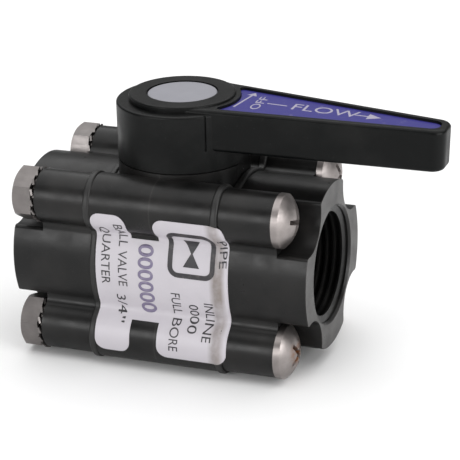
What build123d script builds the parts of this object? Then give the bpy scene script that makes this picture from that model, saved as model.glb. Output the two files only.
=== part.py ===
from build123d import *
import math
import os

# In-line quarter-turn ball valve for a boat's through-hull pipe, in millimetres.
# X is the flow axis, Z the stem axis, and the origin is where the two cross.
# The handle points along +X when the valve is open.

# Driving sizes: the pipe port and the shell built round it
PORT_MAJOR = 13.3                       # thread root radius of a 3/4 inch pipe port
PORT_MINOR = PORT_MAJOR - 1.4           # thread crest radius
MOUTH_CHAMFER = 0.55
THREAD_PITCH = 25.4 / 14                # 14 threads to the inch
THREAD_LEAD_IN = 1.5                    # end face to the first crest
THREAD_LAND = 0.4
THREAD_FLANK = 0.5
THREAD_BREAK = 6.0                      # degrees at the top where no groove is cut, which joins the crests
GROOVE_OVERLAP = 0.1                    # how far a groove's cutting shape starts inside the crests
THREAD_RUN_OUT = 1.6                    # cone from the last thread down to the waterway
PORT_FLOOR = 2.4                        # wall between that cone and the seat's pocket
PORT_WALL = 5.95
BARREL_RADIUS = PORT_MAJOR + PORT_WALL
HALF_LENGTH = 35.1                      # centre to the end face of a cap
JUNCTION = 15.1                         # centre to the middle of a body gasket
LAND_DEPTH = 7.1                        # end face back to the screw bearing plane
CENTER_PROUD = 0.4                      # center body outside the line of the caps

# Ball, cavity and seats
BODY_WALL = 4.75
BALL_WALL = 4.5
BALL_GAP = 0.5
CAVITY_RADIUS = BARREL_RADIUS - BODY_WALL
BALL_RADIUS = CAVITY_RADIUS - BALL_GAP
BORE_RADIUS = BALL_RADIUS - BALL_WALL
SEAT_RADIUS = BORE_RADIUS + 2.9
SEAT_LENGTH = 5.7
SEAT_LIP = 1.85                         # seat forward of the ball's bore edge
SEAT_CLEARANCE = 0.1
SEAL_ROOM = 1.4                         # space behind a seat for its o-ring
SPIGOT_CLEARANCE = 0.2
SPIGOT_SET_BACK = 2.7                   # seat front back to the cap's spigot
SEAL_SQUEEZE_ROOM = 0.05

# Clamping screws and the lobes that carry them
LOBE_RADIUS = 6.0
LOBE_REACH = 2.81                       # screw axis outside the barrel's surface
VALLEY_RADIUS = 2.2
BOLT_OFFSET = (BARREL_RADIUS + LOBE_REACH) / math.sqrt(2)
SCREW_RADIUS = 3.1
HOLE_CLEARANCE = 0.2
HEAD_RADIUS = 6.1
HEAD_HEIGHT = 4.15
HEAD_RIM = 1.5
SCALLOP_CLEARANCE = 1.54
LAND_ROUNDING = 1.0
NUT_ACROSS_FLATS = 11.1
NUT_HEIGHT = 4.55                       # 1/4 inch machine screw nut
NUT_CHAMFER_SLOPE = 0.7                 # chamfer's length to its height
NUT_CORNER_MARGIN = 0.1
NUT_TURNS = (28, 12, 35, 46)            # how far each nut came to rest, in degrees
RECESS_TURNS = (73, 25, 50, 38)         # and each screw's cross recess
WASHER_THICKNESS = 1.0
WASHER_RING = 4.9
WASHER_REACH = 6.3
WASHER_TEETH = 16
WASHER_TOOTH = (0.5, 1.45)              # a tooth's thickness and width
WASHER_TOOTH_ROOT = 0.4                 # how deep a tooth stands in the ring
WASHER_RING_INSET = 0.1
WASHER_TWIST = 20
SCREW_END_SET_BACK = 0.2
SCREW_POINT = 0.2                       # share of a shank's radius taken off at its end
RECESS_REACH = 0.55                     # cross recess, as a share of the head's radius
RECESS_WIDTH = 0.36                     # a wing's width, as a share of its reach
RECESS_DEPTH = 0.38                     # as a share of the head's radius
RECESS_TAPER = 14
RECESS_LIFT = 0.02

# Gaskets between body and caps
GASKET_WIDTH = 1.6
GASKET_PROUD = 0.7
GASKET_ROUNDING = 0.5

# Stem and its seals
STEM_RADIUS = 5.0
RUNNING_CLEARANCE = 0.05
STEM_SQUARE = 7.0
SQUARE_CLEARANCE = 0.05
FLANGE_RADIUS = 7.0
FLANGE_THICKNESS = 1.7
FLANGE_CLEARANCE = 0.3
THRUST_WASHER = 0.6
TANG_WIDTH = 5.0
TANG_LENGTH = 11.0
SLOT_DEPTH = 3.2
SLOT_CLEARANCE = 0.1
SEAL_SECTION = 0.6
GROOVE_DEPTH = 1.25
GROOVE_WIDTH = 1.4
SEAL_RISES = (2.1, 4.5)                 # the o-rings' heights over the flange
STEM_END_GAP = 0.2

# Boss, handle hub and lever
HUB_RADIUS = 14.95
BOSS_TOP = BARREL_RADIUS + 3.75
HUB_GAP = 0.25                          # hub skirt above boss
SHOULDER = BOSS_TOP + 13.25
SHOULDER_ROUNDING = 0.5
RIM_RADIUS = HUB_RADIUS - 2.9
RIM_HEIGHT = 1.4
RIM_TOP = SHOULDER + RIM_HEIGHT
RIM_ROUNDING = 0.4
CAP_RADIUS = 7.86
CAP_GAP = 0.2
CAP_THICKNESS = 1.6
CAP_SET_BACK = 0.2
CAP_ROUNDING = 0.25
HANDLE_SCREW_RADIUS = 2.5
HANDLE_SCREW_HEAD = 4.2
HANDLE_SCREW_HEAD_HEIGHT = 2.6
HANDLE_SCREW_RIM = 1.0
HANDLE_SCREW_LENGTH = 8.0
HANDLE_SCREW_END_GAP = 1.0
THREAD_CLEARANCE = 0.05
HEAD_WELL_GAP = 0.5
HUB_FLOOR = SHOULDER - 4.3              # face inside the hub that the handle screw clamps
STOP_INNER = 8.0
STOP_OUTER = 12.0
STOP_HEIGHT = 3.0
STOP_GAP = 0.3
STOP_LUG_ANGLE = 30.0
TURN = 90.0

LEVER_REACH = 61.4
LEVER_DROOP = 2.25                      # degrees below level
LEVER_ROOT_HALF = 9.8
LEVER_TIP_HALF = 4.3
LEVER_HEIGHT = 9.4
LEVER_TIP_ROUNDING = 3.2
LEVER_EDGE_ROUNDING = 0.9
LEVER_TOP_DROP = 0.1                    # lever's top below the rim at the stem axis
RELIEF_X = 9.7                          # groove down the hub beside the lever's root
RELIEF_WIDTH = 0.5
RELIEF_DEPTH = 0.4
DECAL_RIM = 1.75
DECAL_INSET = 0.9
DECAL_THICKNESS = 0.3
DECAL_GAP = 0.15
DECAL_ARC_GAP = 1.1
DECAL_ROUNDING = 1.0

# Identification label on the front of the body
LABEL_THICKNESS = 0.15
LABEL_LEFT = -14.4
LABEL_LEFT_END = -6.0
LABEL_RIGHT_START = 0.6
LABEL_RIGHT = 17.3
LABEL_TOP = 15.2
LABEL_BOTTOM = -18.0
LABEL_BRIDGE_TOP = 8.4
LABEL_BRIDGE_BOTTOM = -10.7
LABEL_ROUNDING = 2.5
LABEL_GAP = 0.02

BEARING = HALF_LENGTH - LAND_DEPTH
GASKET_INNER = JUNCTION - GASKET_WIDTH / 2
GASKET_OUTER = JUNCTION + GASKET_WIDTH / 2
MORE = 1.0                              # how far a cutting shape runs past the surface it cuts
NEAR = 0.01


def bolt_places():
    """Screw axes in the YZ plane: front top, back top, back bottom, front bottom."""
    signs = ((-1, 1), (1, 1), (1, -1), (-1, -1))
    return [(y * BOLT_OFFSET, z * BOLT_OFFSET) for y, z in signs]


def along_x(face, start, end):
    """Extrude a face drawn in the YZ plane from x = start to x = end."""
    return extrude(Plane.YZ.offset(start) * face, amount=end - start)


def rod_x(radius, start, end, place=(0, 0)):
    return along_x(Pos(*place) * Circle(radius), start, end)


def rod_z(radius, bottom, top):
    return Pos(0, 0, bottom) * Cylinder(radius, top - bottom, align=(Align.CENTER, Align.CENTER, Align.MIN))


def block(x_range, y_range, z_range):
    sizes = [high - low for low, high in (x_range, y_range, z_range)]
    corner = (x_range[0], y_range[0], z_range[0])
    return Pos(*corner) * Box(*sizes, align=(Align.MIN, Align.MIN, Align.MIN))


def turned(profile):
    """Revolve a list of (x, radius) points about the flow axis."""
    return revolve(make_face(Polyline(*profile, close=True)), axis=Axis.X)


def body_outline(grow=0.0):
    """Round barrel with a lobe at each screw, the valleys between them rounded."""
    face = Circle(BARREL_RADIUS)
    for place in bolt_places():
        face += Pos(*place) * Circle(LOBE_RADIUS)
    on_barrel = [v for v in face.vertices() if abs(math.hypot(v.X, v.Y) - BARREL_RADIUS) < NEAR]
    valleys = [v for v in on_barrel if min(abs(v.X), abs(v.Y)) > MORE]
    face = fillet(valleys, VALLEY_RADIUS)
    if grow:
        face = offset(face, grow)
    return face


def bolt_holes(shape, start, end):
    for place in bolt_places():
        shape -= rod_x(SCREW_RADIUS + HOLE_CLEARANCE, start, end, place)
    return shape


# Seat and cap positions along the flow axis, worked out from the ball
SEAT_BORE_X = math.sqrt((BALL_RADIUS + SEAT_CLEARANCE) ** 2 - BORE_RADIUS**2)
SEAT_FRONT = SEAT_BORE_X - SEAT_LIP
SEAT_BACK = SEAT_FRONT + SEAT_LENGTH
POCKET_FLOOR = SEAT_BACK + SEAL_ROOM
SPIGOT_NOSE = SEAT_FRONT + SPIGOT_SET_BACK
SPIGOT_RADIUS = CAVITY_RADIUS - SPIGOT_CLEARANCE
THREAD_ROOM = HALF_LENGTH - THREAD_LEAD_IN - THREAD_RUN_OUT - PORT_FLOOR - POCKET_FLOOR
THREAD_PAIRS = round((THREAD_ROOM / THREAD_PITCH - 1) / 2)
THREAD_COUNT = 2 * THREAD_PAIRS + 1     # an odd number, so one crest is at the middle

# Stem heights, worked out from the ball and the cavity
TANG_BOTTOM = BALL_RADIUS - SLOT_DEPTH + SLOT_CLEARANCE
FLANGE_BOTTOM = BALL_RADIUS + FLANGE_CLEARANCE
FLANGE_TOP = FLANGE_BOTTOM + FLANGE_THICKNESS
SQUARE_BOTTOM = BOSS_TOP + HUB_GAP / 2
STEM_TOP = HUB_FLOOR - STEM_END_GAP
SEAL_HEIGHTS = [FLANGE_TOP + rise for rise in SEAL_RISES]


def center_body():
    body = along_x(body_outline(CENTER_PROUD), -GASKET_INNER, GASKET_INNER)
    boss = rod_z(HUB_RADIUS, 0, BOSS_TOP)
    reach = HUB_RADIUS + MORE
    boss &= block((-GASKET_INNER, GASKET_INNER), (-reach, reach), (0, BOSS_TOP))
    body += boss
    body += stop_ring()
    body -= rod_x(CAVITY_RADIUS, -GASKET_INNER - MORE, GASKET_INNER + MORE)
    body -= rod_z(FLANGE_RADIUS + FLANGE_CLEARANCE, 0, FLANGE_TOP + THRUST_WASHER)
    body -= rod_z(STEM_RADIUS + RUNNING_CLEARANCE, 0, BOSS_TOP + STOP_HEIGHT + MORE)
    return bolt_holes(body, -GASKET_INNER - MORE, GASKET_INNER + MORE)


def sector(inner, outer, bottom, top, start_angle, sweep):
    """Part of a ring about the stem axis, from start_angle counter-clockwise."""
    profile = Plane.XZ * Rectangle(outer - inner, top - bottom)
    section = Pos((inner + outer) / 2, 0, (bottom + top) / 2) * profile
    return Rot(0, 0, start_angle) * revolve(section, axis=Axis.Z, revolution_arc=sweep)


def stop_ring():
    """Raised arc on the boss that the handle's lug meets at both ends of its turn."""
    middle = (STOP_INNER + STOP_OUTER) / 2
    gap_angle = math.degrees(STOP_GAP / middle)
    free = TURN + STOP_LUG_ANGLE + 2 * gap_angle
    start = TURN + STOP_LUG_ANGLE / 2 + gap_angle
    return sector(STOP_INNER, STOP_OUTER, BOSS_TOP - MORE, BOSS_TOP + STOP_HEIGHT, start, 360 - free)


def port_void():
    """Space of the threaded port: a plain hole at the crests, with a groove between each two."""
    first = HALF_LENGTH - THREAD_LEAD_IN
    half_groove = (THREAD_PITCH - THREAD_LAND) / 2
    bottom = first - THREAD_LAND - (THREAD_COUNT - 1) * THREAD_PITCH
    lead_end = first + THREAD_FLANK
    void = turned([
        (HALF_LENGTH + MORE, 0),
        (HALF_LENGTH + MORE, PORT_MAJOR + MOUTH_CHAMFER),
        (HALF_LENGTH, PORT_MAJOR + MOUTH_CHAMFER),
        (HALF_LENGTH - MOUTH_CHAMFER, PORT_MAJOR),
        (lead_end, PORT_MAJOR),
        (first, PORT_MINOR),
        (bottom, PORT_MINOR),
        (bottom - THREAD_RUN_OUT, BORE_RADIUS),
        (bottom - THREAD_RUN_OUT, 0),
    ])
    inside = PORT_MINOR - GROOVE_OVERLAP
    for number in range(THREAD_COUNT - 1):
        middle = first - THREAD_LAND - half_groove - number * THREAD_PITCH
        section = make_face(Polyline(
            (middle + half_groove, inside),
            (middle + half_groove, PORT_MINOR),
            (middle + half_groove - THREAD_FLANK, PORT_MAJOR),
            (middle - half_groove + THREAD_FLANK, PORT_MAJOR),
            (middle - half_groove, PORT_MINOR),
            (middle - half_groove, inside),
            close=True,
        ))
        groove = revolve(section, axis=Axis.X, revolution_arc=360 - THREAD_BREAK)
        void += Rot(90 + THREAD_BREAK / 2, 0, 0) * groove
    return void


def right_end_cap():
    land = Circle(BARREL_RADIUS)
    for place in bolt_places():
        land -= Pos(*place) * Circle(HEAD_RADIUS + SCALLOP_CLEARANCE)
    corners = [v for v in land.vertices() if min(abs(v.X), abs(v.Y)) > MORE]
    land = fillet(corners, LAND_ROUNDING)
    cap = along_x(body_outline(), GASKET_OUTER, BEARING)
    cap += along_x(land, BEARING - MORE, HALF_LENGTH)
    cap += rod_x(SPIGOT_RADIUS, SPIGOT_NOSE, GASKET_OUTER + MORE)
    cap -= port_void()
    cap -= rod_x(BORE_RADIUS, SPIGOT_NOSE - MORE, HALF_LENGTH)
    cap -= rod_x(SEAT_RADIUS + SEAT_CLEARANCE, SPIGOT_NOSE - MORE, POCKET_FLOOR)
    return bolt_holes(cap, GASKET_OUTER - MORE, BEARING + MORE)


def other_end(shape):
    """The same piece at the left end, turned half round about the stem axis."""
    return Rot(0, 0, 180) * shape


def body_gasket():
    gasket = along_x(body_outline(GASKET_PROUD), GASKET_INNER, GASKET_OUTER)
    rims = gasket.faces().filter_by(Axis.X).edges()
    gasket = fillet(rims, GASKET_ROUNDING)
    gasket -= rod_x(CAVITY_RADIUS, GASKET_INNER - MORE, GASKET_OUTER + MORE)
    return bolt_holes(gasket, GASKET_INNER - MORE, GASKET_OUTER + MORE)


def ball():
    piece = Sphere(BALL_RADIUS)
    piece -= rod_x(BORE_RADIUS, -BALL_RADIUS - MORE, BALL_RADIUS + MORE)
    half = TANG_WIDTH / 2 + SLOT_CLEARANCE
    reach = BALL_RADIUS + MORE
    piece -= block((-half, half), (-reach, reach), (BALL_RADIUS - SLOT_DEPTH, reach))
    return piece


def seat():
    """Ring whose front is hollowed to the ball's sphere."""
    sphere = BALL_RADIUS + SEAT_CLEARANCE
    lip = (SEAT_FRONT, math.sqrt(sphere**2 - SEAT_FRONT**2))
    inner = (SEAT_BORE_X, BORE_RADIUS)
    middle_angle = (math.atan2(lip[1], lip[0]) + math.atan2(inner[1], inner[0])) / 2
    middle = (sphere * math.cos(middle_angle), sphere * math.sin(middle_angle))
    hollow = ThreePointArc(lip, middle, inner)
    rest = Polyline(inner, (SEAT_BACK, BORE_RADIUS), (SEAT_BACK, SEAT_RADIUS), (SEAT_FRONT, SEAT_RADIUS), lip)
    return revolve(make_face([hollow, *rest.edges()]), axis=Axis.X)


def ring_seal(radius, section):
    """O-ring about Z, centred on the origin."""
    return Torus(radius, section)


def seat_seal():
    section = SEAL_ROOM / 2 - SEAL_SQUEEZE_ROOM
    middle = (SEAT_BACK + POCKET_FLOOR) / 2
    radius = (BORE_RADIUS + SEAT_RADIUS) / 2
    return Pos(middle, 0, 0) * Rot(0, 90, 0) * ring_seal(radius, section)


def stem():
    tang = block(
        (-TANG_WIDTH / 2, TANG_WIDTH / 2),
        (-TANG_LENGTH / 2, TANG_LENGTH / 2),
        (TANG_BOTTOM, FLANGE_BOTTOM + MORE),
    )
    shaft = rod_z(STEM_RADIUS, FLANGE_BOTTOM, SQUARE_BOTTOM)
    flange = rod_z(FLANGE_RADIUS, FLANGE_BOTTOM, FLANGE_TOP)
    half = STEM_SQUARE / 2
    square = block((-half, half), (-half, half), (SQUARE_BOTTOM - MORE, STEM_TOP))
    piece = tang + shaft + flange + square
    for height in SEAL_HEIGHTS:
        groove = rod_z(STEM_RADIUS + MORE, height - GROOVE_WIDTH / 2, height + GROOVE_WIDTH / 2)
        groove -= rod_z(STEM_RADIUS - GROOVE_DEPTH, height - GROOVE_WIDTH, height + GROOVE_WIDTH)
        piece -= groove
    hole = HANDLE_SCREW_RADIUS + THREAD_CLEARANCE
    return piece - rod_z(hole, STEM_TOP - HANDLE_SCREW_LENGTH, STEM_TOP + MORE)


def thrust_washer():
    top = FLANGE_TOP + THRUST_WASHER
    outer = rod_z(FLANGE_RADIUS, FLANGE_TOP, top)
    return outer - rod_z(STEM_RADIUS + RUNNING_CLEARANCE, FLANGE_TOP - MORE, top + MORE)


def stem_seal(height):
    return Pos(0, 0, height) * ring_seal(STEM_RADIUS - SEAL_SECTION, SEAL_SECTION)


def lever_half_width(x):
    share = (x - HUB_RADIUS) / (LEVER_REACH - HUB_RADIUS)
    return LEVER_ROOT_HALF + (LEVER_TIP_HALF - LEVER_ROOT_HALF) * share


def lever_plan(inset=0.0):
    """Tapered outline of the lever, seen from above, from the stem axis to the tip."""
    end = LEVER_REACH - inset
    root_half = lever_half_width(0) - inset
    tip_half = lever_half_width(LEVER_REACH) - inset
    face = make_face(Polyline((0, -root_half), (end, -tip_half), (end, tip_half), (0, root_half), close=True))
    tips = [corner for corner in face.vertices() if corner.X > end / 2]
    return fillet(tips, min(LEVER_TIP_ROUNDING - inset / 2, 0.9 * tip_half))


def lever_frame():
    """Plane of the lever's top face: its origin on the stem axis, drooping to the tip."""
    droop = math.radians(LEVER_DROOP)
    normal = (math.sin(droop), 0, math.cos(droop))
    along = (math.cos(droop), 0, -math.sin(droop))
    return Plane(origin=(0, 0, RIM_TOP - LEVER_TOP_DROP), x_dir=along, z_dir=normal)


def decal_plan(gap=0.0):
    """Recess in the lever's top: the lever's outline set in, cut by an arc round the hub."""
    face = lever_plan(DECAL_RIM + gap) - Circle(RIM_RADIUS + DECAL_ARC_GAP + gap)
    points = [corner for corner in face.vertices() if corner.X < LEVER_REACH / 2]
    ends = [corner for corner in points if abs(corner.Y) > MORE]
    return fillet(ends, DECAL_ROUNDING - gap)


def lever():
    top = lever_frame()
    bar = extrude(top * lever_plan(), amount=-LEVER_HEIGHT)
    skins = bar.faces().sort_by(Axis.Z)
    edges = skins[-1].edges() + skins[0].edges()
    kept = [edge for edge in edges if edge.center().X > MORE]
    return fillet(kept, LEVER_EDGE_ROUNDING)


def relief_groove(side):
    """Narrow upright groove in the hub's wall, just short of the lever's side."""
    angle = math.degrees(math.acos(RELIEF_X / HUB_RADIUS))
    depth = (HUB_RADIUS - RELIEF_DEPTH, HUB_RADIUS + MORE)
    width = (-RELIEF_WIDTH / 2, RELIEF_WIDTH / 2)
    bottom = RIM_TOP - LEVER_TOP_DROP - LEVER_HEIGHT
    return Rot(0, 0, side * angle) * block(depth, width, (bottom, SHOULDER))


def handle():
    hub = rod_z(HUB_RADIUS, BOSS_TOP + HUB_GAP, SHOULDER)
    hub = fillet(hub.edges().sort_by(Axis.Z)[-1], SHOULDER_ROUNDING)
    rim = rod_z(RIM_RADIUS, SHOULDER - MORE, RIM_TOP)
    rim = fillet(rim.edges().sort_by(Axis.Z)[-1], RIM_ROUNDING)
    piece = lever() + hub + rim
    bed = lever_frame().offset(-DECAL_INSET)
    piece -= extrude(bed * decal_plan(), amount=DECAL_INSET + MORE)
    for side in (-1, 1):
        piece -= relief_groove(side)
    room = BOSS_TOP + STOP_HEIGHT + STOP_GAP
    track = rod_z(STOP_OUTER + STOP_GAP, BOSS_TOP, room)
    track -= rod_z(STOP_INNER - STOP_GAP, BOSS_TOP - MORE, room + MORE)
    piece -= track
    lug = (-STOP_LUG_ANGLE / 2, STOP_LUG_ANGLE)
    piece += sector(STOP_INNER, STOP_OUTER + STOP_GAP + MORE, BOSS_TOP + HUB_GAP, room + MORE, *lug)
    half = STEM_SQUARE / 2 + SQUARE_CLEARANCE
    piece -= block((-half, half), (-half, half), (BOSS_TOP, HUB_FLOOR + MORE))
    piece -= rod_z(HANDLE_SCREW_HEAD + HEAD_WELL_GAP, HUB_FLOOR, RIM_TOP)
    return piece - rod_z(CAP_RADIUS + CAP_GAP, cap_bottom(), RIM_TOP + MORE)


def cap_bottom():
    return RIM_TOP - CAP_SET_BACK - CAP_THICKNESS


def handle_cap():
    disc = rod_z(CAP_RADIUS, cap_bottom(), RIM_TOP - CAP_SET_BACK)
    return fillet(disc.edges().sort_by(Axis.Z)[-1], CAP_ROUNDING)


def handle_decal():
    bed = lever_frame().offset(-DECAL_INSET)
    return extrude(bed * decal_plan(DECAL_GAP), amount=DECAL_THICKNESS)


def cross_recess(radius, depth):
    """Four tapering wings of a cross recess, opening upwards at z = 0."""
    width = RECESS_WIDTH * radius
    top = Rectangle(2 * radius, width) + Rectangle(width, 2 * radius)
    return extrude(top, amount=-depth, taper=RECESS_TAPER)


def pan_head_screw(shank, length, head, height, rim):
    """Screw pointing down, its domed head bearing on z = 0."""
    rise = height - rim
    dome = (head**2 + rise**2) / (2 * rise)
    half_angle = math.asin(head / dome) / 2
    middle = (dome * math.sin(half_angle), height - dome + dome * math.cos(half_angle))
    point = SCREW_POINT * shank
    side = Polyline(
        (0, height),
        (0, -length),
        (shank - point, -length),
        (shank, point - length),
        (shank, 0),
        (head, 0),
        (head, rim),
    )
    crown = ThreePointArc((head, rim), middle, (0, height))
    section = Plane.XZ * make_face([*side.edges(), crown])
    piece = revolve(section, axis=Axis.Z)
    recess = cross_recess(RECESS_REACH * head, RECESS_DEPTH * head)
    return piece - Pos(0, 0, height + RECESS_LIFT) * recess


def body_screw(number):
    length = BEARING * 2 + WASHER_THICKNESS + NUT_HEIGHT - SCREW_END_SET_BACK
    screw = pan_head_screw(SCREW_RADIUS, length, HEAD_RADIUS, HEAD_HEIGHT, HEAD_RIM)
    y, z = bolt_places()[number]
    return Pos(BEARING, y, z) * Rot(RECESS_TURNS[number], 0, 0) * Rot(0, 90, 0) * screw


def handle_screw():
    screw = pan_head_screw(
        HANDLE_SCREW_RADIUS,
        HANDLE_SCREW_LENGTH - HANDLE_SCREW_END_GAP,
        HANDLE_SCREW_HEAD,
        HANDLE_SCREW_HEAD_HEIGHT,
        HANDLE_SCREW_RIM,
    )
    return Pos(0, 0, HUB_FLOOR) * screw


def hex_nut(number):
    corner = NUT_ACROSS_FLATS / math.sqrt(3)
    outer = -BEARING - WASHER_THICKNESS - NUT_HEIGHT
    inner = -BEARING - WASHER_THICKNESS
    y, z = bolt_places()[number]
    nut = along_x(Rot(0, 0, NUT_TURNS[number]) * RegularPolygon(corner, 6), outer, inner)
    cone_start = NUT_ACROSS_FLATS / 2
    cone_end = corner + NUT_CORNER_MARGIN
    cone = turned([
        (outer, 0),
        (outer, cone_start),
        (outer + (cone_end - cone_start) * NUT_CHAMFER_SLOPE, cone_end),
        (inner, cone_end),
        (inner, 0),
    ])
    nut &= cone
    nut -= rod_x(SCREW_RADIUS + THREAD_CLEARANCE, outer - MORE, inner + MORE)
    return Pos(0, y, z) * nut


def lock_washer(number):
    """Flat ring with twisted teeth round its rim."""
    outer = -BEARING - WASHER_THICKNESS
    ring = rod_x(WASHER_RING, outer + WASHER_RING_INSET, -BEARING - WASHER_RING_INSET)
    reach = WASHER_REACH - WASHER_RING + WASHER_TOOTH_ROOT
    thin, broad = WASHER_TOOTH
    tooth = Pos(outer + WASHER_THICKNESS / 2, WASHER_REACH - reach / 2, 0)
    tooth *= Rot(0, WASHER_TWIST, 0) * Box(thin, reach, broad)
    for step in range(WASHER_TEETH):
        ring += Rot(step * 360 / WASHER_TEETH, 0, 0) * tooth
    ring -= rod_x(SCREW_RADIUS + HOLE_CLEARANCE, outer - MORE, -BEARING + MORE)
    y, z = bolt_places()[number]
    return Pos(0, y, z) * ring


def label_plan():
    """Front view of the label in x and z: two panels joined by a narrow bridge."""
    def panel(left, right, bottom, top, rounding):
        middle = ((left + right) / 2, (bottom + top) / 2)
        shape = Rectangle(right - left, top - bottom)
        if rounding:
            shape = fillet(shape.vertices(), rounding)
        return Pos(*middle) * shape

    plan = panel(LABEL_LEFT, LABEL_LEFT_END, LABEL_BOTTOM, LABEL_TOP, LABEL_ROUNDING)
    plan += panel(LABEL_RIGHT_START, LABEL_RIGHT, LABEL_BOTTOM, LABEL_TOP, LABEL_ROUNDING)
    bridge = (LABEL_LEFT_END - MORE, LABEL_RIGHT_START + MORE)
    return plan + panel(*bridge, LABEL_BRIDGE_BOTTOM, LABEL_BRIDGE_TOP, 0)


def wrapped_body(grow):
    """Space inside a skin that lies a little off the caps, the gaskets and the center body."""
    reach = HALF_LENGTH
    shape = along_x(body_outline(grow), -reach, reach)
    shape += along_x(body_outline(CENTER_PROUD + grow), -GASKET_INNER, GASKET_INNER)
    half = GASKET_WIDTH / 2 + grow
    for middle in (-JUNCTION, JUNCTION):
        shape += along_x(body_outline(GASKET_PROUD + grow), middle - half, middle + half)
    return shape + rod_z(HUB_RADIUS + grow, 0, BOSS_TOP)


def body_label():
    """Thin skin on the front of the body, stepping up over a gasket's bead."""
    skin = wrapped_body(LABEL_GAP + LABEL_THICKNESS) - wrapped_body(LABEL_GAP)
    front = extrude(Plane.XZ.offset(BALL_RADIUS) * label_plan(), amount=BARREL_RADIUS + LOBE_RADIUS)
    return skin & front


def write(name, shape):
    export_step(shape, os.path.join("parts", name + ".step"))


def main():
    os.makedirs("parts", exist_ok=True)
    write("center_body", center_body())
    cap = right_end_cap()
    gasket = body_gasket()
    ring = seat()
    seal = seat_seal()
    write("right_end_cap", cap)
    write("left_end_cap", other_end(cap))
    write("right_body_gasket", gasket)
    write("left_body_gasket", other_end(gasket))
    write("right_ball_seat", ring)
    write("left_ball_seat", other_end(ring))
    write("right_seat_seal", seal)
    write("left_seat_seal", other_end(seal))
    write("ball", ball())
    write("stem", stem())
    write("stem_thrust_washer", thrust_washer())
    write("lower_stem_seal", stem_seal(SEAL_HEIGHTS[0]))
    write("upper_stem_seal", stem_seal(SEAL_HEIGHTS[1]))
    write("handle", handle())
    write("handle_screw", handle_screw())
    write("handle_cap", handle_cap())
    write("handle_decal", handle_decal())
    write("body_label", body_label())
    for number in range(4):
        write(f"body_screw_{number + 1}", body_screw(number))
        write(f"hex_nut_{number + 1}", hex_nut(number))
        write(f"lock_washer_{number + 1}", lock_washer(number))


main()
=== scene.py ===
"""Seacock valve: finishes, label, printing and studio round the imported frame."""

import math
from contextlib import contextmanager

import bmesh
import bpy
from bpy.props import FloatProperty, FloatVectorProperty, PointerProperty
from mathutils import Matrix, Vector


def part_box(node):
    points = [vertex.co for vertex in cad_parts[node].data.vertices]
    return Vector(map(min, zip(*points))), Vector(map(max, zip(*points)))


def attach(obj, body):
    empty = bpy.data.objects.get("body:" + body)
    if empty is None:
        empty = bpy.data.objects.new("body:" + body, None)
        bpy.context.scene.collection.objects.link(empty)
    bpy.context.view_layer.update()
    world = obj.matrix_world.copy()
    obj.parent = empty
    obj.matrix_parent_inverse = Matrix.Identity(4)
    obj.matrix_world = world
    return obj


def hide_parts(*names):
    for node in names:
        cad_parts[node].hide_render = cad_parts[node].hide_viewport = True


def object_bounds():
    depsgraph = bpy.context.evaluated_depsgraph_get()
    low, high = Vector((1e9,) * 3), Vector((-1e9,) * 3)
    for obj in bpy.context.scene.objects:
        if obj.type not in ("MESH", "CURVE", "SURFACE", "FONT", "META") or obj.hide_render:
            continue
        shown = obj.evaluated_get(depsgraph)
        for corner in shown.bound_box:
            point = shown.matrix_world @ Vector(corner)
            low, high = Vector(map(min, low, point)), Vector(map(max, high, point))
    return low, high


bl_info = {
    "name": "Seacock valve",
    "version": (1, 0, 0),
    "blender": (4, 5, 0),
    "location": "3D View > Sidebar > Valve",
    "description": "Finishes, label and printing of an in-line ball valve",
    "category": "Object",
}

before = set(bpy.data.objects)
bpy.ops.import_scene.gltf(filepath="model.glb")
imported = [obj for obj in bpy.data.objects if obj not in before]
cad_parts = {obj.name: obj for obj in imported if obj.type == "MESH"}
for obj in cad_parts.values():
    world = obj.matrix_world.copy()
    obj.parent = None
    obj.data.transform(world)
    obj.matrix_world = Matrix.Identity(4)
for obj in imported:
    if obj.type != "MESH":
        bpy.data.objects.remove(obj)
cad_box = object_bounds()

MM = 0.001

HOUSING = "housing"
TURNING = "turning_group"
CAP_NODES = ("left_end_cap", "right_end_cap")
MOULDED_NODES = ("center_body",) + CAP_NODES
GASKET_NODES = ("left_body_gasket", "right_body_gasket")
SEAL_NODES = ("left_seat_seal", "right_seat_seal", "lower_stem_seal", "upper_stem_seal")
SEAT_NODES = ("left_ball_seat", "right_ball_seat", "stem_thrust_washer")
BALL_NODES = ("ball", "stem")
SCREW_NODES = tuple(f"body_screw_{number}" for number in range(1, 5)) + ("handle_screw",)
STAINED_SCREW = "body_screw_4"
NUT_NODES = tuple(f"hex_nut_{number}" for number in range(1, 5))
WASHER_NODES = tuple(f"lock_washer_{number}" for number in range(1, 5))

SHEET_FORWARD = 40 * MM                  # where the label's flat pieces start, in front of the body
SHEET_HEIGHT = 60 * MM                   # where the lever's flat pieces start, above the body
FOIL_GAP = 0.03 * MM                     # between the label and the body
PRINT_GAP = 0.01 * MM                    # between the print and the label
SAME_PLACE = 0.01 * MM                   # points nearer than this count as one
GASKET_SMOOTHING = 1.2 * MM              # how far to each side of a gasket the label is smoothed
MOULD_LINE_HIGHLIGHT_REACH = 0.25 * MM             # half width of the pale line round the centre body, a painted highlight along the mould parting line
WORN_AND_LIT_END = (0.25 * MM, 0.05 * MM)        # how far in from the caps' faces the paler band starts and is full: wear, with painted light on the end faces and their rims
STAIN_REACH = (1.6 * MM, 4.2 * MM)       # from the head's middle: full stain, no stain
PAINTED_SHADE_IN = (-1.6 * MM, -0.3 * MM)        # painted shade on the label over the right gasket, from that gasket's left side: none, full
PAINTED_SHADE_OUT = (1.3 * MM, 2.2 * MM)         # from the same side: full, none

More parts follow.
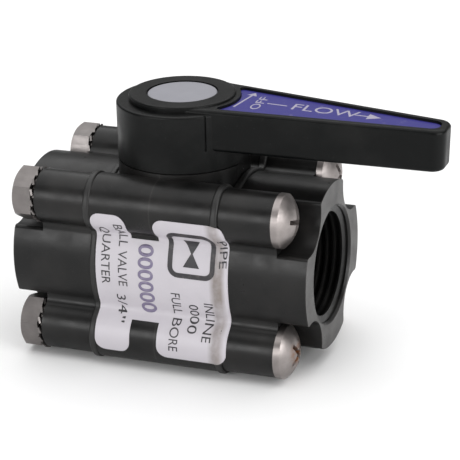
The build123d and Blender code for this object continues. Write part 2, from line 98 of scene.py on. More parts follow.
# Words, letter height, line length and middle (x, z) of each line on the label, in millimetres
LABEL_LINES = (
    ("QUARTER", 3.0, 14.0, (-12.1, 4.4)),
    ("BALL VALVE", 3.1, 15.4, (-8.0, 5.0)),
    ('3/4"', 3.1, 6.2, (-8.9, -8.2)),
    ("FULL BORE", 3.1, 13.0, (4.5, -9.4)),
    ("0000", 3.1, 6.2, (8.5, -8.6)),
    ("INLINE", 3.1, 8.4, (12.2, -8.8)),
    ("PIPE", 2.2, 6.6, (15.9, 7.6)),
)
SERIAL_LINE = ("000000", 5.0, 16.6, (-2.5, -0.8))
SERIAL_WEIGHT = 0.1 * MM
LABEL_TURN = -90.0                       # degrees; the label reads downwards

SIGN_MIDDLE = (8.6 * MM, 6.6 * MM)
SIGN_WIDTH = 11.2 * MM
SIGN_LINE = 1.15 * MM
SIGN_CORNER = 0.22                       # the sign's other sizes are shares of its width
TRIANGLE_RADIUS = 0.2
TRIANGLE_OFFSET = 0.17

DECAL_LINE = 0.45 * MM
DECAL_ROW = 1.2                          # y of the row with the word for open, in millimetres
FLOW_LINE = ("FLOW", 5.6, 15.0, (33.0, DECAL_ROW))
OFF_LINE = ("OFF", 3.0, 8.6, (18.1, 0.6))
OFF_TURN = 90.0
DASH_ENDS = (19.7 * MM, 24.3 * MM)
FLOW_ARROW = (39.9 * MM, 45.9 * MM, 3.0 * MM)   # tail, tip and length of the head
OFF_ARROW = ((13.6 * MM, -3.9 * MM), (15.0 * MM, 7.0 * MM), 2.0 * MM)

FLOOR_SIZE = 6.0
FLOOR_GAP = 0.05 * MM
WORLD_STRENGTH = 0.2
LIT_POINT = (0.01, 0, 0)
# Name, place, width and height in metres, and watts
LIGHTS = (
    ("key_light", (-0.36, -0.9, 0.28), 0.5, 0.35, 3.9),
    ("right_light", (0.78, -0.25, 0.25), 0.5, 0.5, 4.2),
    ("top_light", (0.0, 0.3, 1.2), 2.5, 2.5, 32),
)
SENSOR_WIDTH = 36.0
NEAREST_SEEN = 0.01


def colour_property(name, description, default):
    return FloatVectorProperty(
        name=name, description=description, default=default, size=3, min=0.0, max=1.0, subtype="COLOR"
    )


def length_property(name, description, default):
    return FloatProperty(name=name, description=description, default=default * MM, unit="LENGTH")


class ValveColours(bpy.types.PropertyGroup):
    plastic: colour_property("Plastic", "Moulded body and caps", (0.0042, 0.0042, 0.0042))
    plastic_dust: colour_property("Plastic dust", "Paler bloom on the mouldings", (0.022, 0.0205, 0.0195))
    handle: colour_property("Handle", "Moulded handle", (0.0026, 0.003, 0.003))
    handle_dust: colour_property("Handle dust", "Paler bloom on the handle", (0.015, 0.015, 0.0145))
    rubber: colour_property("Rubber", "Gaskets and o-rings", (0.004, 0.0038, 0.0036))
    seat: colour_property("Seat", "Ball seats", (0.78, 0.77, 0.73))
    steel: colour_property("Steel", "Screws", (0.33, 0.3, 0.29))
    # The screw steel made darker for nuts and washers: painted shade that dims their reflections
    shaded_nut_steel: colour_property("Nut steel", "Nuts and washers", (0.2, 0.185, 0.18))
    rust: colour_property("Rust", "Stain in the screw recesses", (0.25, 0.11, 0.05))
    cap: colour_property("Hub cap", "Disc in the handle's hub", (0.255, 0.255, 0.285))
    decal: colour_property("Decal", "Film let into the lever", (0.03, 0.026, 0.19))
    decal_print: colour_property("Decal print", "Pale print on the lever's film", (0.32, 0.3, 0.38))
    label: colour_property("Label", "Foil on the body", (0.51, 0.485, 0.52))
    # Colour of the painted shade on the foil over the right gasket, and the tone the label ink fades to
    label_stain_and_shade: colour_property("Label stain", "Grime on the foil over the gasket", (0.22, 0.19, 0.175))
    label_print: colour_property("Label print", "Dark print on the foil", (0.02, 0.018, 0.022))
    serial_print: colour_property("Serial print", "Stamped digits on the foil", (0.17, 0.145, 0.23))


class ValveSizes(bpy.types.PropertyGroup):
    label_left: length_property("Label left", "Left edge of the label", -14.4)
    label_left_end: length_property("Left panel end", "Right edge of the left panel", -6.0)
    label_right_start: length_property("Right panel start", "Left edge of the right panel", 0.6)
    label_right: length_property("Label right", "Right edge of the label", 17.1)
    label_top: length_property("Label top", "Top edge of the label", 15.1)
    label_bottom: length_property("Label bottom", "Bottom edge of the label", -17.9)
    bridge_top: length_property("Bridge top", "Top of the strip between the panels", 8.4)
    bridge_bottom: length_property("Bridge bottom", "Bottom of that strip", -10.7)
    label_corner: length_property("Label corner", "Radius of the panels' corners", 2.5)
    label_thickness: length_property("Label thickness", "Thickness of the foil", 0.12)
    print_thickness: length_property("Print thickness", "Thickness of the ink", 0.02)
    cell: length_property("Cell", "Spacing of the cuts that let a flat piece follow a curve", 0.5)


class ValveStage(bpy.types.PropertyGroup):
    azimuth: FloatProperty(name="Azimuth", description="Camera bearing in degrees", default=21.0)
    elevation: FloatProperty(name="Elevation", description="Camera height angle in degrees", default=21.62)
    roll: FloatProperty(name="Roll", description="Camera tilt in degrees", default=-1.46)
    distance: length_property("Distance", "Camera to target", 443.4)
    target_x: length_property("Target X", "Point looked at, along the flow axis", 10.56)
    target_z: length_property("Target Z", "Height of the point looked at", 5.43)
    lens: FloatProperty(name="Lens", description="Focal length in millimetres", default=152.1, min=1.0)


def sizes():
    return bpy.context.scene.valve_sizes


def colours():
    return bpy.context.scene.valve_colours


# Making and shaping pieces


def only(piece):
    bpy.ops.object.select_all(action="DESELECT")
    piece.select_set(True)
    bpy.context.view_layer.objects.active = piece


@contextmanager
def editing(piece):
    """Edit mode on one piece, all of it selected; gives its edit mesh."""
    only(piece)
    bpy.ops.object.mode_set(mode="EDIT")
    bpy.ops.mesh.select_all(action="SELECT")
    yield bmesh.from_edit_mesh(piece.data)
    bpy.ops.object.mode_set(mode="OBJECT")


def settle(piece):
    """Puts a piece's place, turn and size into its mesh."""
    only(piece)
    bpy.ops.object.transform_apply(location=True, rotation=True, scale=True)
    return piece


def rectangle(x_range, y_range):
    """Flat rectangle in the XY plane."""
    middle = (sum(x_range) / 2, sum(y_range) / 2, 0)
    bpy.ops.mesh.primitive_plane_add(size=1, location=middle)
    piece = bpy.context.object
    piece.scale = (x_range[1] - x_range[0], y_range[1] - y_range[0], 1)
    return settle(piece)


def bevel_corners(piece, radius, chosen, segments=6):
    """Rounds the corners of a flat piece that the test chosen(x, y) picks."""
    with editing(piece) as mesh:
        for vertex in mesh.verts:
            vertex.select = chosen(vertex.co.x, vertex.co.y)
        mesh.select_flush_mode()
        bpy.ops.mesh.bevel(affect="VERTICES", offset=radius, offset_type="OFFSET", segments=segments)
    return piece


def rounded_rectangle(x_range, y_range, radius):
    return bevel_corners(rectangle(x_range, y_range), radius, lambda x, y: True)


def cut_lines(piece, spacing, axes=(0, 1)):
    """Cuts a flat piece along a grid so that it can follow a curved surface."""
    for axis in axes:
        low = min(vertex.co[axis] for vertex in piece.data.vertices)
        high = max(vertex.co[axis] for vertex in piece.data.vertices)
        count = max(1, math.ceil((high - low) / spacing))
        normal = Vector((0, 0, 0))
        normal[axis] = 1
        with editing(piece):
            for step in range(1, count):
                place = normal * (low + (high - low) * step / count)
                bpy.ops.mesh.select_all(action="SELECT")
                bpy.ops.mesh.bisect(plane_co=place, plane_no=normal)
    return piece


def joined(pieces, name):
    bpy.ops.object.select_all(action="DESELECT")
    for piece in pieces:
        piece.select_set(True)
    bpy.context.view_layer.objects.active = pieces[0]
    if len(pieces) > 1:
        bpy.ops.object.join()
    piece = bpy.context.object
    piece.name = name
    piece.data.name = name
    return piece


def add_modifier(piece, kind, **settings):
    """Adds a modifier with these settings and applies it."""
    only(piece)
    modifier = piece.modifiers.new(kind.title(), kind)
    for key, value in settings.items():
        setattr(modifier, key, value)
    bpy.ops.object.modifier_apply(modifier=modifier.name)
    return piece


def lay_on(piece, target, axis, gap):
    """Drops a flat piece along -Z, or pushes it along +Y, onto a target's surface."""
    project = {"use_project_x": False, "use_project_y": axis == "Y", "use_project_z": axis == "Z"}
    add_modifier(
        piece,
        "SHRINKWRAP",
        target=target,
        wrap_method="PROJECT",
        use_negative_direction=axis == "Z",
        use_positive_direction=axis == "Y",
        wrap_mode="ABOVE_SURFACE",
        offset=gap,
        **project,
    )


def thicken(piece, thickness, even=True):
    """Gives a sheet its thickness on the outer side and closes its rim."""
    return add_modifier(piece, "SOLIDIFY", thickness=thickness, offset=1.0, use_even_offset=even)


def soft_shading(piece, degrees):
    only(piece)
    bpy.ops.object.shade_smooth_by_angle(angle=math.radians(degrees))


def lettering(line, turn=0.0, weight=0.0):
    """Flat text in the XY plane, as a mesh; line holds words, size, length and middle in millimetres."""
    words, size, length, (x, y) = line
    bpy.ops.object.text_add(location=(x * MM, y * MM, 0), rotation=(0, 0, math.radians(turn)))
    text = bpy.context.object
    text.data.body = words
    text.data.size = size * MM
    text.data.offset = weight
    text.data.align_x = "CENTER"
    text.data.align_y = "CENTER"
    only(text)
    bpy.ops.object.convert(target="MESH")
    text = bpy.context.object
    text.scale = (length * MM / text.dimensions.x, 1, 1)
    with editing(text):
        bpy.ops.mesh.remove_doubles(threshold=SAME_PLACE)
        bpy.ops.mesh.quads_convert_to_tris()
    return settle(text)


def stand_up(piece, forward):
    """Turns a piece drawn in the XY plane to stand in the XZ plane, in front of the body."""
    piece.rotation_euler = (math.pi / 2, 0, 0)
    piece.location = (0, -forward, 0)
    settle(piece)


def lift(piece, height):
    piece.location = (0, 0, height)
    settle(piece)


# Materials


def start_material(name):
    """New material; gives it with its nodes, links and shader."""
    material = bpy.data.materials.new(name)
    material.use_nodes = True
    nodes = material.node_tree.nodes
    return material, nodes, material.node_tree.links, nodes["Principled BSDF"]


def object_noise(nodes, links, scale, detail=3.0, roughness=0.55, stretch=(1, 1, 1)):
    """Noise on Object coordinates; scale is the number of cells to the metre."""
    place = nodes.new("ShaderNodeTexCoord")
    mapping = nodes.new("ShaderNodeMapping")
    mapping.inputs["Scale"].default_value = stretch
    noise = nodes.new("ShaderNodeTexNoise")
    noise.inputs["Scale"].default_value = scale
    noise.inputs["Detail"].default_value = detail
    noise.inputs["Roughness"].default_value = roughness
    links.new(place.outputs["Object"], mapping.inputs["Vector"])
    links.new(mapping.outputs["Vector"], noise.inputs["Vector"])
    return noise.outputs["Fac"]


def ramp(nodes, links, source, stops):
    """Colour ramp over a factor; stops are (position, colour or grey)."""
    node = nodes.new("ShaderNodeValToRGB")
    elements = node.color_ramp.elements
    while len(elements) < len(stops):
        elements.new(0.5)
    for element, (position, colour) in zip(elements, stops):
        element.position = position
        grey = not hasattr(colour, "__len__")
        element.color = (colour, colour, colour, 1) if grey else (*colour, 1)
    links.new(source, node.inputs["Fac"])
    return node.outputs["Color"]


def mixed(nodes, links, factor, first, second):
    """Mix of two colours, each a socket or a plain colour."""
    node = nodes.new("ShaderNodeMix")
    node.data_type = "RGBA"
    links.new(factor, node.inputs["Factor"])
    for key, value in (("A", first), ("B", second)):
        socket = [entry for entry in node.inputs if entry.name == key and entry.type == "RGBA"][0]
        if hasattr(value, "is_linked"):
            links.new(value, socket)
        else:
            socket.default_value = (*value, 1)
    return [entry for entry in node.outputs if entry.type == "RGBA"][0]


def add_bump(nodes, links, shader, height, strength, distance):
    bump = nodes.new("ShaderNodeBump")
    bump.inputs["Strength"].default_value = strength
    bump.inputs["Distance"].default_value = distance
    links.new(height, bump.inputs["Height"])
    links.new(bump.outputs["Normal"], shader.inputs["Normal"])


def band_along_x(nodes, links, stops):
    """Factor that follows the distance from the ball's centre along X; stops are (metres, factor)."""
    place = nodes.new("ShaderNodeTexCoord")
    axes = nodes.new("ShaderNodeSeparateXYZ")
    links.new(place.outputs["Object"], axes.inputs["Vector"])
    distance = nodes.new("ShaderNodeMath")
    distance.operation = "ABSOLUTE"
    links.new(axes.outputs["X"], distance.inputs[0])
    band = nodes.new("ShaderNodeMapRange")
    (start, first), (end, last) = stops
    band.inputs["From Min"].default_value = start
    band.inputs["From Max"].default_value = end
    band.inputs["To Min"].default_value = first
    band.inputs["To Max"].default_value = last
    links.new(distance.outputs["Value"], band.inputs["Value"])
    return band.outputs["Result"]


def moulded_plastic(name, base, bloom, roughness, specular, wear_and_painted_light=None):
    """Satin glass-filled plastic: fine grain, faint bloom and scuffs, and a paler band along X of wear and
    painted highlight.
    """
    material, nodes, links, shader = start_material(name)
    cloud = object_noise(nodes, links, 90, 4)
    veil = ramp(nodes, links, cloud, ((0.42, 0.0), (0.75, 0.55)))
    speck = ramp(nodes, links, object_noise(nodes, links, 1500, 2), ((0.66, 0.0), (0.74, 0.5)))
    colour = mixed(nodes, links, veil, base, bloom)
    colour = mixed(nodes, links, speck, colour, bloom)
    if wear_and_painted_light:
        # Paler band: painted highlight on the mould line; on the caps, wear with painted light on the end
        # faces and rims
        colour = mixed(nodes, links, band_along_x(nodes, links, wear_and_painted_light), colour, [1.7 * part for part in bloom])
    links.new(colour, shader.inputs["Base Color"])
    scuffs = object_noise(nodes, links, 220, 5)
    sheen = ramp(nodes, links, scuffs, ((0.3, roughness - 0.07), (0.7, roughness + 0.09)))
    links.new(sheen, shader.inputs["Roughness"])
    shader.inputs["Specular IOR Level"].default_value = specular
    add_bump(nodes, links, shader, object_noise(nodes, links, 5200, 3), 0.22, 0.00006)
    return material


def rubber(name, base):
    material, nodes, links, shader = start_material(name)
    cloud = ramp(nodes, links, object_noise(nodes, links, 400, 4), ((0.35, 0.0), (0.8, 1.0)))
    links.new(mixed(nodes, links, cloud, base, [2.0 * part for part in base]), shader.inputs["Base Color"])
    shader.inputs["Roughness"].default_value = 0.5
    add_bump(nodes, links, shader, object_noise(nodes, links, 2600, 3), 0.2, 0.00005)
    return material


def waxy_plastic(name, base):
    material, nodes, links, shader = start_material(name)
    cloud = ramp(nodes, links, object_noise(nodes, links, 260, 3), ((0.3, 0.0), (0.8, 1.0)))
    links.new(mixed(nodes, links, cloud, base, [0.82 * part for part in base]), shader.inputs["Base Color"])
    shader.inputs["Roughness"].default_value = 0.38
    shader.inputs["Subsurface Weight"].default_value = 0.05
    shader.inputs["Subsurface Scale"].default_value = 0.001
    return material


def steel(name, base, recess=None, rust=None):
    """Bright stainless steel, turned along the screw axis; rust stains it round a recess at this place."""
    material, nodes, links, shader = start_material(name)
    cloud = ramp(nodes, links, object_noise(nodes, links, 330, 4), ((0.3, 0.0), (0.75, 1.0)))
    colour = mixed(nodes, links, cloud, base, [0.72 * part for part in base])
    if recess:
        place = nodes.new("ShaderNodeTexCoord")
        reach = nodes.new("ShaderNodeVectorMath")
        reach.operation = "DISTANCE"
        reach.inputs[1].default_value = recess
        links.new(place.outputs["Object"], reach.inputs[0])
        near = nodes.new("ShaderNodeMapRange")
        near.inputs["From Min"].default_value = STAIN_REACH[0]
        near.inputs["From Max"].default_value = STAIN_REACH[1]
        near.inputs["To Min"].default_value = 1.0
        near.inputs["To Max"].default_value = 0.0
        links.new(reach.outputs["Value"], near.inputs["Value"])
        patch = ramp(nodes, links, object_noise(nodes, links, 620, 5, 0.65), ((0.4, 0.0), (0.6, 1.0)))
        stain = nodes.new("ShaderNodeMath")
        stain.operation = "MULTIPLY"
        links.new(near.outputs["Result"], stain.inputs[0])
        links.new(patch, stain.inputs[1])
        colour = mixed(nodes, links, stain.outputs["Value"], colour, rust)
    links.new(colour, shader.inputs["Base Color"])
    shader.inputs["Metallic"].default_value = 1.0
    scratch = object_noise(nodes, links, 900, 4, 0.6, (0.25, 1, 1))
    links.new(ramp(nodes, links, scratch, ((0.3, 0.34), (0.75, 0.5))), shader.inputs["Roughness"])
    add_bump(nodes, links, shader, scratch, 0.12, 0.00004)
    return material


def satin_disc(name, base):
    material, nodes, links, shader = start_material(name)
    cloud = ramp(nodes, links, object_noise(nodes, links, 180, 4), ((0.35, 0.0), (0.8, 0.6)))
    links.new(mixed(nodes, links, cloud, base, [0.85 * part for part in base]), shader.inputs["Base Color"])
    shader.inputs["Roughness"].default_value = 0.42
    add_bump(nodes, links, shader, object_noise(nodes, links, 4200, 2), 0.12, 0.00004)
    return material


def film(name, base, worn):
    """Printed film, rubbed a little paler in patches."""
    material, nodes, links, shader = start_material(name)
    rub = ramp(nodes, links, object_noise(nodes, links, 420, 5, 0.65), ((0.6, 0.0), (0.78, 0.4)))
    links.new(mixed(nodes, links, rub, base, worn), shader.inputs["Base Color"])
    shader.inputs["Roughness"].default_value = 0.4
    shader.inputs["Specular IOR Level"].default_value = 0.25
    shader.inputs["Coat Weight"].default_value = 0.06
    shader.inputs["Coat Roughness"].default_value = 0.2
    return material


def label_foil(name, base, stain):
    """Pale foil with a darker band of painted shade where it bridges the right gasket."""
    material, nodes, links, shader = start_material(name)
    place = nodes.new("ShaderNodeTexCoord")
    axes = nodes.new("ShaderNodeSeparateXYZ")
    links.new(place.outputs["Object"], axes.inputs["Vector"])
    low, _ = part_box("right_body_gasket")
    band = nodes.new("ShaderNodeMapRange")
    band.inputs["From Min"].default_value = low.x + PAINTED_SHADE_IN[0]
    band.inputs["From Max"].default_value = low.x + PAINTED_SHADE_IN[1]
    links.new(axes.outputs["X"], band.inputs["Value"])
    fade = nodes.new("ShaderNodeMapRange")
    fade.inputs["From Min"].default_value = low.x + PAINTED_SHADE_OUT[0]
    fade.inputs["From Max"].default_value = low.x + PAINTED_SHADE_OUT[1]
    fade.inputs["To Min"].default_value = 1.0
    fade.inputs["To Max"].default_value = 0.0
    links.new(axes.outputs["X"], fade.inputs["Value"])
    both = nodes.new("ShaderNodeMath")
    both.operation = "MULTIPLY"
    links.new(band.outputs["Result"], both.inputs[0])
    links.new(fade.outputs["Result"], both.inputs[1])
    # Painted shade where the foil dips over the right gasket, broken up by noise
    blotch = ramp(nodes, links, object_noise(nodes, links, 130, 5, 0.6), ((0.35, 0.35), (0.62, 1.0)))
    painted_shade = nodes.new("ShaderNodeMath")
    painted_shade.operation = "MULTIPLY"
    links.new(both.outputs["Value"], painted_shade.inputs[0])
    links.new(blotch, painted_shade.inputs[1])
    cloud = ramp(nodes, links, object_noise(nodes, links, 110, 4), ((0.45, 0.0), (0.85, 0.35)))
    colour = mixed(nodes, links, cloud, base, [0.8 * part for part in base])
    # stain is here the colour of that painted shade
    links.new(mixed(nodes, links, painted_shade.outputs["Value"], colour, stain), shader.inputs["Base Color"])
    shader.inputs["Roughness"].default_value = 0.45
    add_bump(nodes, links, shader, object_noise(nodes, links, 500, 4), 0.15, 0.0001)
    return material


def ink(name, base, faded):
    material, nodes, links, shader = start_material(name)
    fade = ramp(nodes, links, object_noise(nodes, links, 700, 4), ((0.5, 0.0), (0.85, 0.3)))
    links.new(mixed(nodes, links, fade, base, faded), shader.inputs["Base Color"])
    shader.inputs["Roughness"].default_value = 0.5
    return material


def paint(objects, material):
    for piece in objects:
        piece.data.materials.clear()
        piece.data.materials.append(material)
        for face in piece.data.polygons:
            face.material_index = 0


def paint_nodes(names, material):
    paint([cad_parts[name] for name in names], material)


# Operators


class VALVE_OT_mouldings(bpy.types.Operator):
    """Finishes the body, caps, handle, gaskets, seals and seats"""

    bl_idname = "valve.mouldings"
    bl_label = "Finish the mouldings"

    def execute(self, context):
        tone = colours()
        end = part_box("right_end_cap")[1].x
        # Pale line along the centre body's mould parting line: a painted highlight
        mould_line_highlight = ((0.0, 0.5), (MOULD_LINE_HIGHLIGHT_REACH, 0.0))
        # Paler end faces and rims of the caps: wear, with painted light
        worn_and_lit_ends = ((end - WORN_AND_LIT_END[0], 0.0), (end - WORN_AND_LIT_END[1], 0.7))
        for name, nodes, wear_and_painted_light in (
            ("body_plastic", ("center_body",), mould_line_highlight),
            ("end_cap_plastic", CAP_NODES, worn_and_lit_ends),
        ):
            paint_nodes(nodes, moulded_plastic(name, tone.plastic, tone.plastic_dust, 0.34, 0.25, wear_and_painted_light))
        paint_nodes(("handle",), moulded_plastic("handle_plastic", tone.handle, tone.handle_dust, 0.36, 0.13))
        paint_nodes(BALL_NODES, moulded_plastic("ball_plastic", tone.plastic, tone.plastic_dust, 0.22, 0.3))
        paint_nodes(GASKET_NODES, rubber("gasket_rubber", tone.rubber))
        paint_nodes(SEAL_NODES, rubber("seal_rubber", tone.rubber))
        paint_nodes(SEAT_NODES, waxy_plastic("seat_plastic", tone.seat))
        paint_nodes(("handle_cap",), satin_disc("cap_plastic", tone.cap))
        paint_nodes(("handle_decal",), film("decal_film", tone.decal, tone.decal_print))
        return {"FINISHED"}


class VALVE_OT_hardware(bpy.types.Operator):
    """Finishes the screws, nuts and lock washers"""

    bl_idname = "valve.hardware"
    bl_label = "Finish the hardware"

    def execute(self, context):
        tone = colours()
        paint_nodes(SCREW_NODES, steel("screw_steel", tone.steel))
        low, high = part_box(STAINED_SCREW)
        head = (high.x, (low.y + high.y) / 2, (low.z + high.z) / 2)
        paint_nodes((STAINED_SCREW,), steel("stained_steel", tone.steel, head, tone.rust))
        # Nuts and washers get the darker copy of the steel, a painted shade
        paint_nodes(NUT_NODES + WASHER_NODES, steel("shaded_nut_steel", tone.shaded_nut_steel))
        return {"FINISHED"}


def label_outline():
    """The label's front view: a wide rectangle with a notch above and below its bridge."""
    size = sizes()
    sheet = rectangle((size.label_left, size.label_right), (size.label_bottom, size.label_top))
    with editing(sheet):
        for place in (size.label_left_end, size.label_right_start):
            bpy.ops.mesh.select_all(action="SELECT")
            bpy.ops.mesh.bisect(plane_co=(place, 0, 0), plane_no=(1, 0, 0))
        for place in (size.bridge_bottom, size.bridge_top):
            bpy.ops.mesh.select_all(action="SELECT")
            bpy.ops.mesh.bisect(plane_co=(0, place, 0), plane_no=(0, 1, 0))
        bpy.ops.mesh.select_all(action="DESELECT")
        mesh = bmesh.from_edit_mesh(sheet.data)
        for face in mesh.faces:
            middle = face.calc_center_median()
            between = size.label_left_end < middle.x < size.label_right_start
            face.select = between and not size.bridge_bottom < middle.y < size.bridge_top
        bpy.ops.mesh.delete(type="FACE")
        bpy.ops.mesh.select_all(action="SELECT")
        bpy.ops.mesh.dissolve_limited(angle_limit=math.radians(1))
    ends = (size.label_bottom, size.label_top)
    return bevel_corners(
        sheet, size.label_corner, lambda x, y: min(abs(y - end) for end in ends) < SAME_PLACE
    )


def front_of_body():
    """One copy of the pieces behind the label, for laying it on."""
    copies = []
    for name in MOULDED_NODES + GASKET_NODES:
        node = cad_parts[name]
        copy = bpy.data.objects.new("under_label", node.data.copy())
        bpy.context.scene.collection.objects.link(copy)
        copies.append(copy)
    return joined(copies, "under_label")


class VALVE_OT_label(bpy.types.Operator):
    """Lays the foil label on the front of the body"""

    bl_idname = "valve.label"
    bl_label = "Make the label"

    def execute(self, context):
        size = sizes()
        sheet = joined([cut_lines(label_outline(), size.cell)], "label_foil")
        stand_up(sheet, SHEET_FORWARD)
        under = front_of_body()
        lay_on(sheet, under, "Y", FOIL_GAP)
        bpy.data.objects.remove(under)
        group = sheet.vertex_groups.new(name="over_gaskets")
        for side in GASKET_NODES:
            low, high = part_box(side)
            start, end = low.x - GASKET_SMOOTHING, high.x + GASKET_SMOOTHING
            near = [vertex.index for vertex in sheet.data.vertices if start < vertex.co.x < end]
            group.add(near, 1.0, "REPLACE")
        relax = {"factor": 0.5, "iterations": 4, "use_x": False, "use_z": False}
        add_modifier(sheet, "SMOOTH", vertex_group="over_gaskets", **relax)
        thicken(sheet, size.label_thickness)
        soft_shading(sheet, 50)
        paint([sheet], label_foil("label_film", colours().label, colours().label_stain_and_shade))
        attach(sheet, HOUSING)
        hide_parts("body_label")
        return {"FINISHED"}


def flat_triangle(place, radius, turn):
    """Equal-sided triangle in the XY plane, pointing up before it is turned."""
    bpy.ops.mesh.primitive_circle_add(vertices=3, radius=radius, fill_type="NGON", location=(*place, 0))
    triangle = bpy.context.object
    triangle.rotation_euler = (0, 0, turn)
    return settle(triangle)


def valve_symbol(place, width, line):
    """Square frame with a bow-tie valve sign, in flat strips."""
    x, y = place
    half = width / 2
    border = rounded_rectangle((x - half, x + half), (y - half, y + half), SIGN_CORNER * width)
    with editing(border):
        bpy.ops.mesh.inset(thickness=line)
        bpy.ops.mesh.delete(type="FACE")
    pieces = [border]
    for side, turn in ((-1, 0), (1, math.pi)):
        middle = (x, y + side * TRIANGLE_OFFSET * width)
        pieces.append(flat_triangle(middle, TRIANGLE_RADIUS * width, turn))
    return pieces


def print_on_label(pieces, name, material):
    size = sizes()
    marks = joined(pieces, name)
    cut_lines(marks, size.cell)
    stand_up(marks, SHEET_FORWARD)
    lay_on(marks, bpy.data.objects["label_foil"], "Y", PRINT_GAP)
    thicken(marks, size.print_thickness, even=False)
    paint([marks], material)
    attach(marks, HOUSING)


class VALVE_OT_label_print(bpy.types.Operator):
    """Prints plain words, a serial blank and a valve sign on the label"""

    bl_idname = "valve.label_print"
    bl_label = "Print the label"

    def execute(self, context):
        tone = colours()
        pieces = [lettering(line, LABEL_TURN) for line in LABEL_LINES]
        pieces += valve_symbol(SIGN_MIDDLE, SIGN_WIDTH, SIGN_LINE)
        dark = ink("label_ink", tone.label_print, tone.label_stain_and_shade)
        print_on_label(pieces, "label_print", dark)
        serial = [lettering(SERIAL_LINE, LABEL_TURN, SERIAL_WEIGHT)]
        pale = ink("serial_ink", tone.serial_print, tone.label)
        print_on_label(serial, "serial_print", pale)
        return {"FINISHED"}


def arrow(tail, tip, width, head):
    """Flat arrow from tail to tip in the XY plane."""
    tail, tip = Vector(tail), Vector(tip)
    along = (tip - tail).normalized()
    turn = math.atan2(along.y, along.x)
    neck = tip - along * head
    shaft = rectangle((0, (neck - tail).length), (-width / 2, width / 2))
    shaft.rotation_euler = (0, 0, turn)
    shaft.location = (tail.x, tail.y, 0)
    settle(shaft)
    middle = tip - along * head * 2 / 3
    return [shaft, flat_triangle(middle, head * 2 / 3, turn - math.pi / 2)]


class VALVE_OT_decal_print(bpy.types.Operator):
    """Prints the flow and shut arrows on the lever's film"""

    bl_idname = "valve.decal_print"
    bl_label = "Print the lever"

    def execute(self, context):
        tone = colours()
        tail, tip, head = OFF_ARROW
        pieces = arrow(tail, tip, DECAL_LINE, head)
        tail, tip, head = FLOW_ARROW
        middle = DECAL_ROW * MM
        pieces += arrow((tail, middle), (tip, middle), DECAL_LINE, head)
        pieces.append(rectangle(DASH_ENDS, (middle - DECAL_LINE / 2, middle + DECAL_LINE / 2)))
        pieces.append(lettering(FLOW_LINE))
        pieces.append(lettering(OFF_LINE, OFF_TURN))
        marks = joined(pieces, "decal_print")
        lift(marks, SHEET_HEIGHT)
        lay_on(marks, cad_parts["handle_decal"], "Z", 0.0)
        thicken(marks, sizes().print_thickness, even=False)
        paint([marks], ink("decal_ink", tone.decal_print, tone.decal))
        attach(marks, TURNING)
        return {"FINISHED"}


def camera_turn(stage):
    """Rotation of a camera that looks from a bearing and height, tilted by roll."""
    azimuth, elevation, roll = map(math.radians, (stage.azimuth, stage.elevation, stage.roll))
    level = Vector((-math.sin(azimuth), math.cos(azimuth), 0))
    forward = level * math.cos(elevation) - Vector((0, 0, math.sin(elevation)))
    right = forward.cross(Vector((0, 0, 1))).normalized()
    up = right.cross(forward)
    tilted_right = right * math.cos(roll) + up * math.sin(roll)
    tilted_up = up * math.cos(roll) - right * math.sin(roll)
    return Matrix((tilted_right, tilted_up, -forward)).transposed(), forward


def soft_light(name, place, width, height, power):
    light = bpy.data.lights.new(name, "AREA")
    light.shape = "RECTANGLE"
    light.size = width
    light.size_y = height
    light.energy = power
    lamp = bpy.data.objects.new(name, light)
    bpy.context.scene.collection.objects.link(lamp)
    lamp.location = place
    lamp.rotation_mode = "QUATERNION"
    lamp.rotation_quaternion = (Vector(LIT_POINT) - Vector(place)).to_track_quat("-Z", "Y")


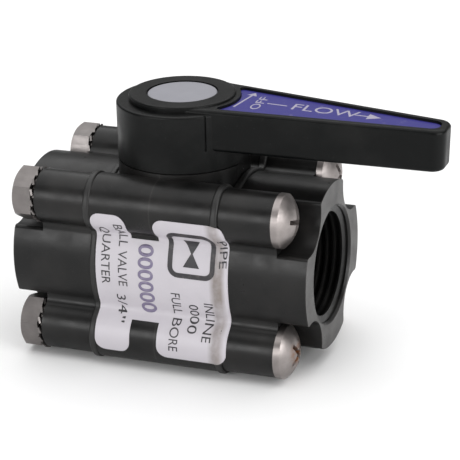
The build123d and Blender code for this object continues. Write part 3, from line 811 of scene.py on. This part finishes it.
class VALVE_OT_stage(bpy.types.Operator):
    """Sets up the floor, the lights and the camera"""

    bl_idname = "valve.stage"
    bl_label = "Set the stage"

    def execute(self, context):
        stage = context.scene.valve_stage
        floor_height = cad_box[0].z
        bpy.ops.object.select_all(action="DESELECT")
        bpy.ops.mesh.primitive_plane_add(size=FLOOR_SIZE, location=(0, 0, floor_height - FLOOR_GAP))
        floor = context.object
        floor.name = "floor"
        settle(floor)
        material, _, _, shader = start_material("pale_floor")
        shader.inputs["Base Color"].default_value = (0.9, 0.9, 0.9, 1)
        shader.inputs["Roughness"].default_value = 0.9
        floor.data.materials.append(material)

        world = bpy.data.worlds.new("studio")
        world.use_nodes = True
        backdrop = world.node_tree.nodes["Background"]
        backdrop.inputs["Color"].default_value = (1, 1, 1, 1)
        backdrop.inputs["Strength"].default_value = WORLD_STRENGTH
        context.scene.world = world
        for light in LIGHTS:
            soft_light(*light)

        camera = bpy.data.cameras.new("camera")
        camera.lens = stage.lens
        camera.sensor_width = SENSOR_WIDTH
        camera.clip_start = NEAREST_SEEN
        eye = bpy.data.objects.new("camera", camera)
        context.scene.collection.objects.link(eye)
        turn, forward = camera_turn(stage)
        eye.rotation_mode = "QUATERNION"
        eye.rotation_quaternion = turn.to_quaternion()
        eye.location = Vector((stage.target_x, 0, stage.target_z)) - forward * stage.distance
        context.scene.camera = eye
        context.scene.view_settings.view_transform = "Standard"
        return {"FINISHED"}


class VALVE_PT_panel(bpy.types.Panel):
    """Lists the valve's operators"""

    bl_label = "Seacock valve"
    bl_idname = "VALVE_PT_panel"
    bl_space_type = "VIEW_3D"
    bl_region_type = "UI"
    bl_category = "Valve"

    def draw(self, context):
        for operator in OPERATORS:
            self.layout.operator(operator.bl_idname)


OPERATORS = (
    VALVE_OT_mouldings,
    VALVE_OT_hardware,
    VALVE_OT_label,
    VALVE_OT_label_print,
    VALVE_OT_decal_print,
    VALVE_OT_stage,
)
GROUPS = (ValveColours, ValveSizes, ValveStage)


def register():
    for group in GROUPS + OPERATORS + (VALVE_PT_panel,):
        bpy.utils.register_class(group)
    bpy.types.Scene.valve_colours = PointerProperty(type=ValveColours)
    bpy.types.Scene.valve_sizes = PointerProperty(type=ValveSizes)
    bpy.types.Scene.valve_stage = PointerProperty(type=ValveStage)


def unregister():
    del bpy.types.Scene.valve_stage
    del bpy.types.Scene.valve_sizes
    del bpy.types.Scene.valve_colours
    for group in reversed(GROUPS + OPERATORS + (VALVE_PT_panel,)):
        bpy.utils.unregister_class(group)


def main():
    register()
    for operator in OPERATORS:
        family, name = operator.bl_idname.split(".")
        getattr(getattr(bpy.ops, family), name)()


if __name__ == "__main__":
    main()
